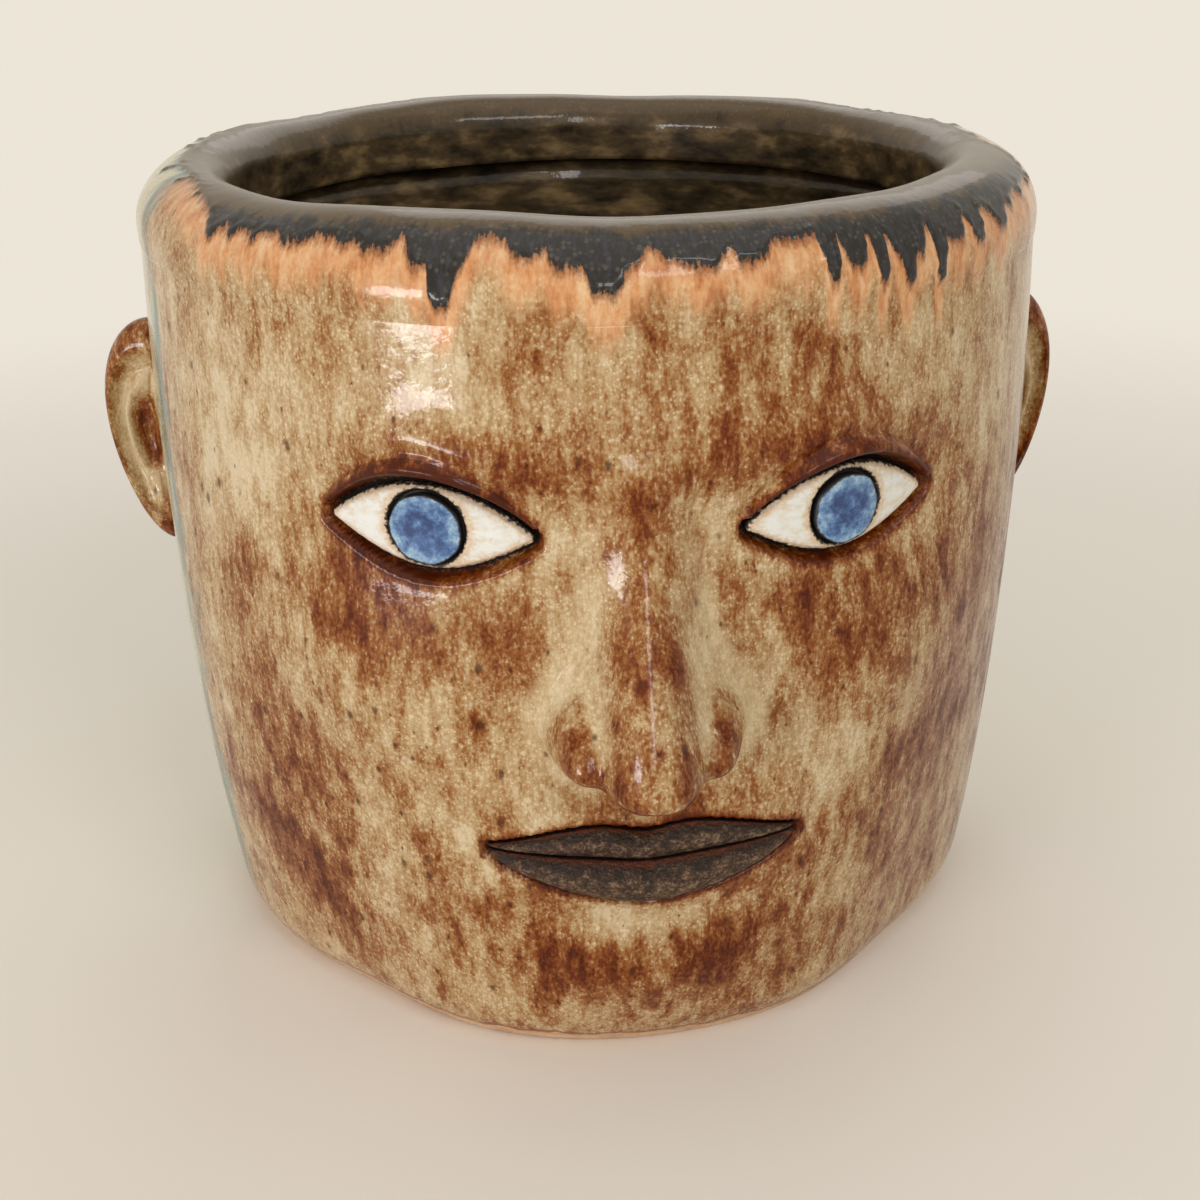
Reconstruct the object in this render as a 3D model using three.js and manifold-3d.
// A hand-built stoneware planter in the form of a head: a thick round wall let over a floor
// slab, a rolled rim coil on top, and the nose, ears, lids, eyes and lips set on or into it.
// Millimetres, +Z up, the face looking along -Y. The head's own left side is +X.
import * as THREE from "three";
import { mergeVertices } from "three/addons/utils/BufferGeometryUtils.js";
import Module from "manifold-3d";

// Pot
const POT_HEIGHT = 124; // table to the top of the rim, halfway between front and back
const POT_RADIUS = 70; // skin radius at the widest height
const RIM_RISE = 7; // how much higher the rim stands at the back than at the front
const WIDEST_Z = 82; // height where the wall stops widening
const FOOT_RADIUS = 65; // skin radius that the wall narrows to, before the tuck at the foot
const FOOT_CURVE = 2.2; // power of that narrowing: higher keeps the upper wall straighter
const FOOT_TUCK = 2.6; // how far the last of the wall turns in under itself
const TUCK_HEIGHT = 8; // height over which it does so
const TOP_NARROWING = 2; // how far the wall would draw in again by the pot's full height
const TOP_CURVE = 1.5; // power of that narrowing: higher keeps it nearer the top
const WALL_THICKNESS = 10.5; // skin to bore, away from the jaw
const JAW_TAPER = 2.4; // how far each side of the jaw is pressed in at the foot
const JAW_AZIMUTH = 42; // degrees from the front to the middle of the pressed side
const JAW_SPREAD = 15; // degrees over which the pressing fades
const JAW_TOP_Z = 64; // height where the pressing ends
const JAW_FADE = 1.5; // power of its fade up to there: higher keeps it nearer the foot

// Rim coil
const RIM_HEIGHT = 11;
const RIM_THICKNESS = 14;
const RIM_PROUD = 0.2; // how far the coil stands out past the wall
const RIM_OUTER_ROUND = 8.6;
const RIM_INNER_ROUND = 5;
const RIM_HEEL_ROUND = 1; // rounding of the coil's two lower edges

// Floor slab
const FLOOR_THICKNESS = 9;
const FLANGE_THICKNESS = 2; // the slab's edge that runs out under the wall
const FLANGE_INSET = 1; // how far that edge stops short of the skin
const FLANGE_BEVEL = 1; // bevel of its lower edge
const DRAIN_RADIUS = 6;

// Joints. The rim coil stands flat on the wall, and the wall on the slab's flange; every other
// piece has a slip-filled gap all round.
const SLIP_GAP = 0.35;
const SEAT_DEPTH = 1.5; // shallow scored seat under the nose and lids
const OPEN_SIDE = 12; // how far a carving tool's shape stands outside the skin

// Face lines. Hairline, brow, nose and chin lie one face unit apart, as in a drawing manual.
const FOREHEAD_HEIGHT = 17; // rim seat down to the brow line
const CHIN_Z = 10;
const EYE_LINE_SHARE = 1.75; // face units from the chin to the eye line
const MOUTH_LINE_SHARE = 2 / 3; // face units from the chin to the mouth line
const CHEEK_RISE = 8; // base of the nose to the cheeks' crowns
const CHIN_FOLD_DROP = 5; // lower lip to the fold above the chin
const CHIN_RISE = 7; // chin line to the chin's crown

// Eyes: white slip inlaid in a carved pocket, whose open edge is the dark line round the eye
const EYE_WIDTH = 28;
const EYE_GAP = 28; // between the two inner corners
const EYE_RISE = 6.4; // eye line to the top of the white
const EYE_DROP = 5.4; // eye line to the bottom of the white
const EYE_TILT = 1; // outer corner above the inner corner
const EYE_CORNER = 0.6; // blunt height of the white at its corners
const EYE_DOME = 1.5; // swell of the white at its middle
const EYE_POCKET_DEPTH = 2.2;
const EYE_LINE_WIDTH = 1.2;
const UPPER_ARCH = 0.85; // power of the upper edge's arch: lower is fuller
const LOWER_ARCH = 0.95;
const IRIS_MARGIN = 0.45; // white left above and below the iris and its line
const IRIS_LINE_WIDTH = 0.6;
const IRIS_DEPTH = 1.3;
const IRIS_PROUD = 0.5;
const INLAY_SET = 0.3; // how far an inlay's edge lies below the skin

// Upper lids: one thin coil over each eye
const LID_WIDTH = 3.4;
const LID_END_WIDTH = 1;
const LID_ARCH = 0.7; // power of the coil's widening from its ends: lower is fuller
const LID_TAIL = 2; // how far the lid runs past each corner of the eye
const LID_SWELL = 1.5;
const LID_EDGE = 0.2; // thickness left at the lid's edge

// Nose: one wedge with a rounded tip and pinched wings
const NOSE_WIDTH = 27;
const NOSE_BRIDGE_WIDTH = 10;
const NOSE_FLARE = 3; // how much each side has widened by the base, apart from the wings
const NOSE_ROOT_RISE = 6; // how far the nose starts above the eye line
const NOSE_ROOT_LIFT = 1.4;
const NOSE_TIP_LIFT = 14.5;
const NOSE_TIP_AT = 0.84; // share of the nose's height from its root to its tip
const NOSE_TIP_SPREAD = 6.6; // half width of the tip's swell
const NOSE_CLIMB = 1.9; // power of the ridge's rise: higher is more hollow
const NOSE_WING_LIFT = 7;
const NOSE_WING_SPREAD = 3.4;
const NOSE_WING_OFF = 9.2; // middle of a wing from the middle of the nose
const NOSE_WING_LENGTH = 0.17; // share of the nose's height that a wing's swell covers
const NOSE_EDGE = 5; // power of its fall to the edges: higher keeps it fuller
const NOSE_DROOP = 0.24; // how far the nose hangs for each millimetre that it stands out
const NOSTRIL_RADIUS = 2.4;
const NOSTRIL_LENGTH = 3.6; // half length of a nostril, front to back
const NOSTRIL_OFF = 5.9; // middle of a nostril from the middle of the nose
const NOSTRIL_OUT = 5.8; // middle of a nostril from the skin

// Mouth: two rolls of dark clay in one carved pocket
const MOUTH_WIDTH = 44;
const UPPER_LIP_HEIGHT = 5.4;
const LOWER_LIP_HEIGHT = 7.2;
const LIP_CORNER = 0.8;
const UPPER_LIP_ARCH = 1.15; // power of the upper lip's arch: lower is fuller
const LOWER_LIP_ARCH = 0.9;
const LIP_DIP = 1.1; // dip in the middle of the upper lip's edge
const LIP_DIP_SPREAD = 3.7;
const PARTING_DIP = 0.5; // dip in the middle of the line where the lips meet
const PARTING_DIP_SPREAD = 5.5;
const LIP_POCKET_DEPTH = 2.4;
const UPPER_LIP_SWELL = 1.2;
const LOWER_LIP_SWELL = 2.2;
const LIP_SWELL_ARCH = 0.6; // power of the swells' rise from the corners: lower is fuller
const LIP_LINE_WIDTH = 0.7; // open edge of the pocket round the lips
const PARTING = 0.5; // gap between the lips

// Ears: one pressed pad each, its root let into the wall
const EAR_HEIGHT = 37;
const EAR_REACH = 10.4;
const EAR_LOBE_SHARE = 0.84; // reach at mid height, as a share of the whole reach
const EAR_LOBE_GAIN = 0.2; // what the reach gains towards the top and loses towards the lobe
const EAR_ROOT = 3.2;
const EAR_RISE = 3.6; // brow line to the top of the ear
const EAR_AZIMUTH = 88; // degrees from the front
const EAR_SWEEP = 18; // degrees that the pad is swept back from straight out
const EAR_FRONT_RIM = 3.2; // height of the rolled edge above the pad's middle plane
const EAR_ROLL_WIDTH = 0.22; // share of the pad that the rolled edge takes
const EAR_HOLLOW = 0.3; // height of the hollow's floor above the same plane
const EAR_HOLLOW_AT = 0.3; // share of the pad, from its middle, that the hollow's floor takes
const EAR_HOLLOW_CURVE = 1.6; // power of the climb from there to the rolled edge
const EAR_BACK_SWELL = 3;

// Fineness
const FACE_HALF_ANGLE = 60;
const FACE_STEP = 5;
const BACK_STEP = 10;
const SKIN_ROWS = 24;
const BORE_ROWS = 4;
const ROUND_STEPS = 3;
const EYE_GRID = [14, 4];
const LID_GRID = [14, 3];
const LIP_GRID = [20, 4];
const NOSE_GRID = [14, 14];
const NOSE_ROW_POWER = 1.35; // above 1, the rows crowd towards the base of the nose
const IRIS_GRID = [4, 18];
const EAR_GRID = [6, 22];
const NOSTRIL_GRID = [10, 6];
const SAME_POINT = 1e-4; // points closer than this are one

// Heights and places that follow from the sizes above
const RIM_SEAT_Z = POT_HEIGHT - RIM_HEIGHT;
const BROW_Z = RIM_SEAT_Z - FOREHEAD_HEIGHT;
const FACE_UNIT = (BROW_Z - CHIN_Z) / 2;
const NOSE_Z = CHIN_Z + FACE_UNIT;
const EYE_Z = CHIN_Z + EYE_LINE_SHARE * FACE_UNIT;
const MOUTH_Z = CHIN_Z + MOUTH_LINE_SHARE * FACE_UNIT;
const EYE_MIDDLE = (EYE_GAP + EYE_WIDTH) / 2;
const IRIS_RADIUS = (EYE_RISE + EYE_DROP) / 2 - IRIS_MARGIN - IRIS_LINE_WIDTH;
const IRIS_Z = EYE_Z + (EYE_RISE - EYE_DROP) / 2 + EYE_TILT / 2;
const CHIN_FOLD_Z = MOUTH_Z - LOWER_LIP_HEIGHT - CHIN_FOLD_DROP;
const EAR_MIDDLE_Z = BROW_Z + EAR_RISE - EAR_HEIGHT / 2;
const WALL_FOOT_Z = FLANGE_THICKNESS;

// Soft modelling of the wall. Each swell stands lift out of it, or in where lift is negative,
// off is its distance from the middle of the face, and wide and high are its spreads.
const SWELLS = {
  brow: { lift: 1.9, off: 22, wide: 16, z: BROW_Z, high: 5 },
  noseRoot: { lift: 0.9, off: 0, wide: 9, z: BROW_Z, high: 6 },
  socket: { lift: -2, off: EYE_MIDDLE, wide: 17, z: EYE_Z, high: 9 },
  cheek: { lift: 1.7, off: 36, wide: 14, z: NOSE_Z + CHEEK_RISE, high: 12 },
  mouthMound: { lift: 2.2, off: 0, wide: 25, z: MOUTH_Z, high: 13 },
  chinFold: { lift: -1.3, off: 0, wide: 14, z: CHIN_FOLD_Z, high: 4 },
  chin: { lift: 2.6, off: 0, wide: 15, z: CHIN_Z + CHIN_RISE, high: 9 },
};

const radians = THREE.MathUtils.degToRad;
const mix = THREE.MathUtils.lerp;
const clamp01 = (x) => THREE.MathUtils.clamp(x, 0, 1);
const archAt = (t) => Math.sin(Math.PI * clamp01(t));
const crown = (v) => 1 - (2 * v - 1) ** 2;

// A smooth bump of height 1 at the middle, for distances x and z with spreads sx and sz.
const bump = (x, sx, z = 0, sz = 1) => Math.exp(-((x / sx) ** 2) - (z / sz) ** 2);

// The angle from the front of a distance measured along the skin.
const angleOf = (along) => along / POT_RADIUS;

// A point at angle a from the front, height z and distance r from the pot's axis.
const place = (a, z, r) => new THREE.Vector3(r * Math.sin(a), -r * Math.cos(a), z);

// Skin of the wall

function roundRadius(z) {
  const below = clamp01(1 - z / WIDEST_Z) ** FOOT_CURVE;
  const tuck = clamp01(1 - z / TUCK_HEIGHT) ** 2;
  const above = clamp01((z - WIDEST_Z) / (POT_HEIGHT - WIDEST_Z)) ** TOP_CURVE;
  const narrowing = (POT_RADIUS - FOOT_RADIUS) * below + FOOT_TUCK * tuck + TOP_NARROWING * above;
  return POT_RADIUS - narrowing;
}

function jawPressing(a, z) {
  const off = Math.abs(a) - radians(JAW_AZIMUTH);
  return JAW_TAPER * bump(off, radians(JAW_SPREAD)) * clamp01(1 - z / JAW_TOP_Z) ** JAW_FADE;
}

function modelling(a, z) {
  const x = Math.abs(a) * POT_RADIUS;
  const swells = Object.values(SWELLS);
  return swells.reduce((sum, s) => sum + s.lift * bump(x - s.off, s.wide, z - s.z, s.high), 0);
}

const skin = (a, z) => roundRadius(z) - jawPressing(a, z) + modelling(a, z);
const onSkin = (a, z, lift) => place(a, z, skin(a, z) + lift);
const boreRadius = (z) => roundRadius(Math.max(z, FLOOR_THICKNESS)) - WALL_THICKNESS;

// Closed meshes

function closedMesh(points, triangles) {
  const geometry = new THREE.BufferGeometry().setFromPoints(points);
  let volume = 0;
  for (const [i, j, k] of triangles) {
    volume += points[i].dot(points[j].clone().cross(points[k]));
  }
  const facingOut = volume > 0 ? triangles : triangles.map(([i, j, k]) => [i, k, j]);
  geometry.setIndex(facingOut.flat());
  return geometry;
}

// A ring round the pot: section(a) gives the same number of [radius, height] at each angle.
function ringSolid(angles, section) {
  const sections = angles.map(section);
  const count = sections[0].length;
  const points = angles.flatMap((a, i) => sections[i].map(([r, z]) => place(a, z, r)));
  const triangles = [];
  angles.forEach((_, i) => {
    const here = i * count;
    const next = ((i + 1) % angles.length) * count;
    for (let j = 0; j < count; j++) {
      const up = (j + 1) % count;
      triangles.push([here + j, next + j, next + up], [here + j, next + up, here + up]);
    }
  });
  return closedMesh(points, triangles);
}

// A blanket of clay on the skin, on a grid of across by along squares. where(u, v) gives its
// angle and height, u and v from 0 to 1, and lift(u, v) how far it stands out. Its back lies
// depth under the skin. Each millimetre of lift hangs it lower by droop.
function blanket([across, along], where, lift, depth, droop = 0) {
  const outer = (u, v) => {
    const { a, z } = where(u, v);
    const out = lift(u, v);
    return onSkin(a, z, out).add(new THREE.Vector3(0, 0, -droop * out));
  };
  const back = (u, v) => {
    const { a, z } = where(u, v);
    return onSkin(a, z, -depth);
  };
  const row = across + 1;
  const size = row * (along + 1);
  const points = [];
  for (const face of [outer, back]) {
    for (let j = 0; j <= along; j++) {
      for (let i = 0; i <= across; i++) points.push(face(i / across, j / along));
    }
  }
  const triangles = [];
  for (let j = 0; j < along; j++) {
    for (let i = 0; i < across; i++) {
      const p = j * row + i;
      triangles.push([p, p + 1, p + row + 1], [p, p + row + 1, p + row]);
      const q = p + size;
      triangles.push([q, q + row + 1, q + 1], [q, q + row, q + row + 1]);
    }
  }
  const edge = [];
  for (let i = 0; i < across; i++) edge.push(i);
  for (let j = 0; j < along; j++) edge.push(j * row + across);
  for (let i = across; i > 0; i--) edge.push(along * row + i);
  for (let j = along; j > 0; j--) edge.push(j * row);
  edge.forEach((p, n) => {
    const q = edge[(n + 1) % edge.length];
    triangles.push([p, p + size, q + size], [p, q + size, q]);
  });
  return closedMesh(points, triangles);
}

// A lens: front(s, t) and back(s, t) meet at their edge, s from 0 at the middle to 1 there.
function lens([rings, spokes], front, back) {
  const turn = (i) => (2 * Math.PI * i) / spokes;
  const points = [front(0, 0)];
  for (let k = 1; k <= rings; k++) {
    for (let i = 0; i < spokes; i++) points.push(front(k / rings, turn(i)));
  }
  for (let k = rings - 1; k >= 1; k--) {
    for (let i = 0; i < spokes; i++) points.push(back(k / rings, turn(i)));
  }
  points.push(back(0, 0));
  const last = points.length - 1;
  const bands = 2 * rings - 2;
  const end = 1 + bands * spokes;
  const triangles = [];
  for (let i = 0; i < spokes; i++) {
    const next = (i + 1) % spokes;
    triangles.push([0, 1 + i, 1 + next]);
    for (let k = 0; k < bands; k++) {
      const a = 1 + k * spokes;
      const b = a + spokes;
      triangles.push([a + i, b + i, b + next], [a + i, b + next, a + next]);
    }
    triangles.push([end + i, last, end + next]);
  }
  return closedMesh(points, triangles);
}

// The same piece for the head's right side.
function mirrored(geometry) {
  const other = geometry.clone().scale(-1, 1, 1);
  const index = Array.from(other.index.array);
  for (let i = 0; i < index.length; i += 3) {
    [index[i + 1], index[i + 2]] = [index[i + 2], index[i + 1]];
  }
  return other.setIndex(index);
}

// The pot stands higher at the back. Above the floor, each level tilts more, up to the rim's.
function leanedBack(geometry) {
  const leaned = geometry.clone();
  const position = leaned.attributes.position;
  const slope = RIM_RISE / (2 * POT_RADIUS);
  for (let i = 0; i < position.count; i++) {
    const z = position.getZ(i);
    const share = clamp01((z - FLOOR_THICKNESS) / (POT_HEIGHT - FLOOR_THICKNESS));
    position.setZ(i, z + slope * share * position.getY(i));
  }
  return leaned;
}

// Carving

const wasm = await Module();
wasm.setup();

function toSolid(geometry) {
  const bare = geometry.clone();
  bare.deleteAttribute("normal");
  bare.deleteAttribute("uv");
  const merged = mergeVertices(bare, SAME_POINT);
  const vertProperties = merged.attributes.position.array;
  const triVerts = new Uint32Array(merged.index.array);
  return new wasm.Manifold(new wasm.Mesh({ numProp: 3, vertProperties, triVerts }));
}

function carve(geometry, tools) {
  const carved = tools.reduce((left, tool) => left.subtract(toSolid(tool)), toSolid(geometry));
  const mesh = carved.getMesh();
  const made = new THREE.BufferGeometry();
  made.setAttribute("position", new THREE.BufferAttribute(mesh.vertProperties, 3));
  return made.setIndex(new THREE.BufferAttribute(mesh.triVerts, 1));
}

// Wall, rim and floor

// Angles from the front, from just past the back round to it again, closer over the face.
function ringAngles() {
  const degrees = [];
  for (let a = -FACE_HALF_ANGLE; a < FACE_HALF_ANGLE; a += FACE_STEP) degrees.push(a);
  for (let a = FACE_HALF_ANGLE; a < 360 - FACE_HALF_ANGLE; a += BACK_STEP) degrees.push(a);
  return degrees.map((a) => radians(a > 180 ? a - 360 : a));
}

function wallSection(a) {
  const section = [];
  for (let i = 0; i <= SKIN_ROWS; i++) {
    const z = mix(WALL_FOOT_Z, RIM_SEAT_Z, i / SKIN_ROWS);
    section.push([skin(a, z), z]);
  }
  for (let i = BORE_ROWS; i >= 0; i--) {
    const z = mix(FLOOR_THICKNESS, RIM_SEAT_Z, i / BORE_ROWS);
    section.push([boreRadius(z), z]);
  }
  section.push([boreRadius(0), WALL_FOOT_Z]);
  return section;
}

// A quarter turn of radius r about [x, z], from angle start, as [radius, height] points.
function quarter(x, z, r, start) {
  return Array.from({ length: ROUND_STEPS + 1 }, (_, i) => {
    const turn = start + (Math.PI / 2) * (i / ROUND_STEPS);
    return [x + r * Math.cos(turn), z + r * Math.sin(turn)];
  });
}

function rimSection() {
  const outside = roundRadius(RIM_SEAT_Z) + RIM_PROUD;
  const inside = outside - RIM_THICKNESS;
  const foot = RIM_SEAT_Z;
  const heel = Math.min(RIM_HEEL_ROUND, RIM_THICKNESS / 4, RIM_HEIGHT / 4);
  const outer = Math.min(RIM_OUTER_ROUND, RIM_HEIGHT - heel);
  const inner = Math.min(RIM_INNER_ROUND, RIM_THICKNESS - outer, RIM_HEIGHT - heel);
  const corners = [
    ...quarter(outside - heel, foot + heel, heel, -Math.PI / 2),
    ...quarter(outside - outer, POT_HEIGHT - outer, outer, 0),
    ...quarter(inside + inner, POT_HEIGHT - inner, inner, Math.PI / 2),
    ...quarter(inside + heel, foot + heel, heel, Math.PI),
  ];
  return corners.filter(([r, z], i) => {
    const [before, level] = corners.at(i - 1);
    return Math.hypot(r - before, z - level) > SAME_POINT;
  });
}

function slabSection(a) {
  const flange = skin(a, WALL_FOOT_Z) - FLANGE_INSET;
  const plug = boreRadius(0) - SLIP_GAP;
  return [
    [DRAIN_RADIUS, 0],
    [flange - FLANGE_BEVEL, 0],
    [flange, FLANGE_BEVEL],
    [flange, FLANGE_THICKNESS],
    [plug, FLANGE_THICKNESS],
    [plug, FLOOR_THICKNESS],
    [DRAIN_RADIUS, FLOOR_THICKNESS],
  ];
}

// Eyes

// Upper and lower edge of the left eye at t, from 0 at the inner corner to 1 at the outer.
function eyeEdges(t) {
  const middle = EYE_Z + EYE_TILT * t;
  const corner = EYE_CORNER / 2;
  return {
    top: middle + corner + (EYE_RISE - corner) * archAt(t) ** UPPER_ARCH,
    bottom: middle - corner - (EYE_DROP - corner) * archAt(t) ** LOWER_ARCH,
  };
}

// The almond of an eye, grown by grow, from depth below the skin to lift above it.
function almond(grow, depth, lift) {
  const along = (u) => mix(-grow / EYE_WIDTH, 1 + grow / EYE_WIDTH, u);
  const where = (u, v) => {
    const t = along(u);
    const { top, bottom } = eyeEdges(t);
    return { a: angleOf(EYE_GAP / 2 + t * EYE_WIDTH), z: mix(bottom - grow, top + grow, v) };
  };
  return blanket(EYE_GRID, where, (u, v) => lift(along(u), v), depth);
}

const eyeSwell = (t, v) => EYE_DOME * archAt(t) * crown(v) - INLAY_SET;

// A round disc at the iris, grown by grow, standing lift above the white and deep below it.
function irisDisc(grow, deep, lift) {
  const radius = IRIS_RADIUS + grow;
  const flat = (IRIS_GRID[0] - 1) / IRIS_GRID[0];
  const at = (s, turn, height) => {
    const reach = radius * Math.min(1, s / flat);
    const a = angleOf(EYE_MIDDLE + reach * Math.cos(turn));
    return onSkin(a, IRIS_Z + reach * Math.sin(turn), height);
  };
  const front = (s, turn) => at(s, turn, EYE_DOME + (s < 1 ? lift : 0));
  const back = (s, turn) => at(s, turn, EYE_DOME - deep);
  return lens(IRIS_GRID, front, back);
}

// The lid's coil over the left eye, grown by grow.
function lidCoil(grow, depth, lift) {
  const reach = (LID_TAIL + grow) / EYE_WIDTH;
  const where = (u, v) => {
    const t = mix(-reach, 1 + reach, u);
    const low = eyeEdges(t).top + EYE_LINE_WIDTH - grow;
    const width = mix(LID_END_WIDTH, LID_WIDTH, archAt(u) ** LID_ARCH) + 2 * grow;
    return { a: angleOf(EYE_GAP / 2 + t * EYE_WIDTH), z: low + width * v };
  };
  return blanket(LID_GRID, where, lift, depth);
}

const lidSwell = (u, v) => LID_EDGE + LID_SWELL * Math.sqrt(archAt(u)) * crown(v);

// Mouth

// Edges of the lips at t from 0 to 1 across the mouth.
function lipEdges(t) {
  const x = (clamp01(t) - 0.5) * MOUTH_WIDTH;
  const corner = LIP_CORNER / 2;
  const part = MOUTH_Z - PARTING_DIP * bump(x, PARTING_DIP_SPREAD);
  const dip = LIP_DIP * bump(x, LIP_DIP_SPREAD);
  return {
    top: part + corner + (UPPER_LIP_HEIGHT - corner) * archAt(t) ** UPPER_LIP_ARCH - dip,
    part,
    bottom: part - corner - (LOWER_LIP_HEIGHT - corner) * archAt(t) ** LOWER_LIP_ARCH,
  };
}

// The shape between two edges across the mouth, grown by grow.
function lipRoll(grow, low, high, depth, lift) {
  const reach = grow / MOUTH_WIDTH;
  const where = (u, v) => {
    const t = mix(-reach, 1 + reach, u);
    const edges = lipEdges(t);
    const z = mix(low(edges) - grow, high(edges) + grow, v);
    return { a: angleOf((t - 0.5) * MOUTH_WIDTH), z };
  };
  return blanket(LIP_GRID, where, lift, depth);
}

const lipSwell = (height) => (u, v) => height * archAt(u) ** LIP_SWELL_ARCH * crown(v) - INLAY_SET;

// Nose

// Half width of the nose and height of its ridge, q from 0 at the root to 1 at the base.
function noseLine(q) {
  const wing = bump(q - NOSE_TIP_AT, NOSE_WING_LENGTH);
  const climb = clamp01(q / NOSE_TIP_AT);
  const under = clamp01((q - NOSE_TIP_AT) / (1 - NOSE_TIP_AT));
  const turn = mix(NOSE_ROOT_LIFT / NOSE_TIP_LIFT, 1, Math.sqrt(1 - under ** 2));
  return {
    wing,
    turn,
    half: mix(NOSE_BRIDGE_WIDTH / 2 + NOSE_FLARE * q, NOSE_WIDTH / 2, wing),
    ridge: mix(NOSE_ROOT_LIFT, NOSE_TIP_LIFT, archAt(climb ** NOSE_CLIMB / 2)) * turn,
    spread: mix(NOSE_BRIDGE_WIDTH / 2, NOSE_TIP_SPREAD, climb ** 2),
  };
}

// The nose's own surface at q and c, c from -1 to 1 across it.
function noseLift(q, c) {
  const { wing, turn, half, ridge, spread } = noseLine(q);
  const off = Math.abs(c) * half;
  const wings = NOSE_WING_LIFT * wing * turn * bump(off - NOSE_WING_OFF, NOSE_WING_SPREAD);
  return (ridge * bump(off, spread) + wings) * (1 - Math.abs(c) ** NOSE_EDGE);
}

function noseWedge(grow, depth, lift, droop) {
  const down = (v) => 1 - (1 - v) ** NOSE_ROW_POWER;
  const across = (u) => 2 * u - 1;
  const where = (u, v) => {
    const half = noseLine(down(v)).half + grow;
    const z = mix(EYE_Z + NOSE_ROOT_RISE + grow, NOSE_Z - grow, down(v));
    return { a: angleOf(across(u) * half), z };
  };
  return blanket(NOSE_GRID, where, (u, v) => lift(down(v), across(u)), depth, droop);
}

function nostril(side) {
  const centre = onSkin(angleOf(side * NOSTRIL_OFF), NOSE_Z, NOSTRIL_OUT);
  centre.z -= NOSE_DROOP * NOSTRIL_OUT + NOSTRIL_RADIUS / 2;
  return new THREE.SphereGeometry(NOSTRIL_RADIUS, ...NOSTRIL_GRID)
    .scale(1, NOSTRIL_LENGTH / NOSTRIL_RADIUS, 1)
    .translate(centre.x, centre.y, centre.z);
}

// Ears

// The left ear's pad, grown by grow. A plain pad has no hollow in its front.
function earPad(grow, plain) {
  const azimuth = radians(EAR_AZIMUTH);
  const swept = azimuth + radians(EAR_SWEEP);
  const foot = onSkin(azimuth, EAR_MIDDLE_Z, 0);
  const out = new THREE.Vector3(Math.sin(swept), -Math.cos(swept), 0);
  const forward = new THREE.Vector3(-Math.cos(swept), -Math.sin(swept), 0);
  const middle = EAR_REACH * EAR_HOLLOW_AT;
  const at = (s, turn, thick) => {
    const lobe = EAR_REACH * (EAR_LOBE_SHARE + EAR_LOBE_GAIN * Math.sin(turn));
    const reach = Math.cos(turn) > 0 ? lobe : EAR_ROOT;
    return foot
      .clone()
      .addScaledVector(out, mix(middle, (reach + grow) * Math.cos(turn), s))
      .addScaledVector(forward, thick)
      .setZ(EAR_MIDDLE_Z + s * (EAR_HEIGHT / 2 + grow) * Math.sin(turn));
  };
  const inner = 1 - EAR_ROLL_WIDTH;
  const frontHeight = (s) => {
    if (s > inner) return EAR_FRONT_RIM * Math.sqrt(1 - ((s - inner) / EAR_ROLL_WIDTH) ** 2);
    const climb = clamp01((s - EAR_HOLLOW_AT) / (inner - EAR_HOLLOW_AT));
    return plain ? EAR_FRONT_RIM : mix(EAR_HOLLOW, EAR_FRONT_RIM, climb ** EAR_HOLLOW_CURVE);
  };
  return lens(
    EAR_GRID,
    (s, turn) => at(s, turn, frontHeight(s) + (s < 1 ? grow : 0)),
    (s, turn) => at(s, turn, -EAR_BACK_SWELL * Math.sqrt(1 - s * s) - grow),
  );
}

// Assembly

const clay = (color, roughness) =>
  new THREE.MeshStandardMaterial({ color, roughness, metalness: 0 });
const faceGlaze = clay(0xa5754a, 0.28);
const rimGlaze = clay(0x2b2721, 0.34);
const whiteSlip = clay(0xe6dcc3, 0.62);
const blueGlaze = clay(0x4b72a8, 0.4);
const darkSlip = clay(0x453831, 0.68);
const bareClay = clay(0xc9a27c, 0.85);

function piece(name, geometry, material) {
  const shown = leanedBack(geometry);
  shown.computeVertexNormals();
  const mesh = new THREE.Mesh(shown, material);
  mesh.name = name;
  return mesh;
}

const angles = ringAngles();
const openOut = () => OPEN_SIDE;
const whole = [(edges) => edges.bottom, (edges) => edges.top];
const upper = [(edges) => edges.part + PARTING / 2, (edges) => edges.top + PARTING / 2];
const lower = [(edges) => edges.bottom - PARTING / 2, (edges) => edges.part - PARTING / 2];

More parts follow.
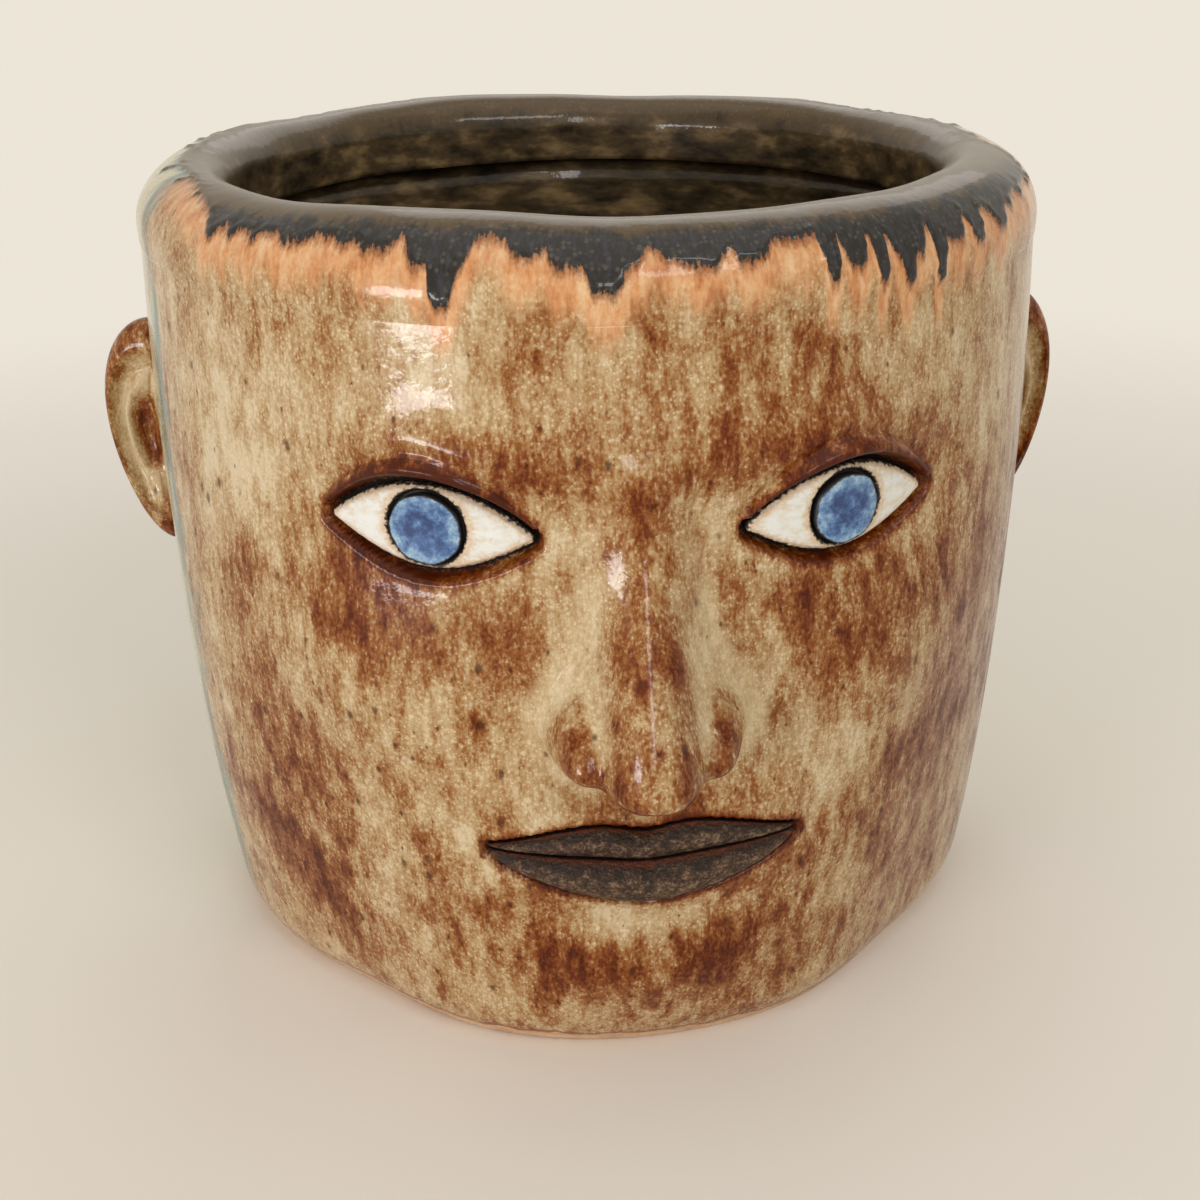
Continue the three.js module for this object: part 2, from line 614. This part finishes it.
const eyePocket = almond(EYE_LINE_WIDTH, EYE_POCKET_DEPTH, openOut);
const eyeWhite = carve(almond(0, EYE_POCKET_DEPTH - SLIP_GAP, eyeSwell), [
  irisDisc(IRIS_LINE_WIDTH, IRIS_DEPTH + SLIP_GAP, OPEN_SIDE),
]);
const iris = irisDisc(0, IRIS_DEPTH, IRIS_PROUD);

const lidSeat = lidCoil(SLIP_GAP, SEAT_DEPTH, openOut);
const lid = lidCoil(0, SEAT_DEPTH - SLIP_GAP, lidSwell);

const mouthPocket = lipRoll(LIP_LINE_WIDTH, ...whole, LIP_POCKET_DEPTH, openOut);
const lipDepth = LIP_POCKET_DEPTH - SLIP_GAP;
const upperLip = lipRoll(0, ...upper, lipDepth, lipSwell(UPPER_LIP_SWELL));
const lowerLip = lipRoll(0, ...lower, lipDepth, lipSwell(LOWER_LIP_SWELL));

const noseSeat = noseWedge(SLIP_GAP, SEAT_DEPTH, openOut, 0);
const noseBody = noseWedge(0, SEAT_DEPTH - SLIP_GAP, noseLift, NOSE_DROOP);
const nose = carve(noseBody, [nostril(-1), nostril(1)]);

const ear = earPad(0, false);
const earMortise = earPad(SLIP_GAP, true);

const wall = carve(ringSolid(angles, wallSection), [
  eyePocket,
  mirrored(eyePocket),
  lidSeat,
  mirrored(lidSeat),
  mouthPocket,
  noseSeat,
  earMortise,
  mirrored(earMortise),
]);

const planter = new THREE.Group();
planter.add(
  piece("wall", wall, faceGlaze),
  piece("rim_coil", ringSolid(angles, rimSection), rimGlaze),
  piece("floor_slab", ringSolid(angles, slabSection), bareClay),
  piece("nose", nose, faceGlaze),
  piece("left_ear", ear, faceGlaze),
  piece("right_ear", mirrored(ear), faceGlaze),
  piece("left_upper_lid", lid, faceGlaze),
  piece("right_upper_lid", mirrored(lid), faceGlaze),
  piece("left_eye_white", eyeWhite, whiteSlip),
  piece("right_eye_white", mirrored(eyeWhite), whiteSlip),
  piece("left_iris", iris, blueGlaze),
  piece("right_iris", mirrored(iris), blueGlaze),
  piece("upper_lip", upperLip, darkSlip),
  piece("lower_lip", lowerLip, darkSlip),
);

// The frame's origin is on the table, under the middle of the whole planter's outline.
const outline = new THREE.Box3().setFromObject(planter);
const centre = outline.getCenter(new THREE.Vector3());
planter.position.set(-centre.x, -centre.y, -outline.min.z);

export default planter;
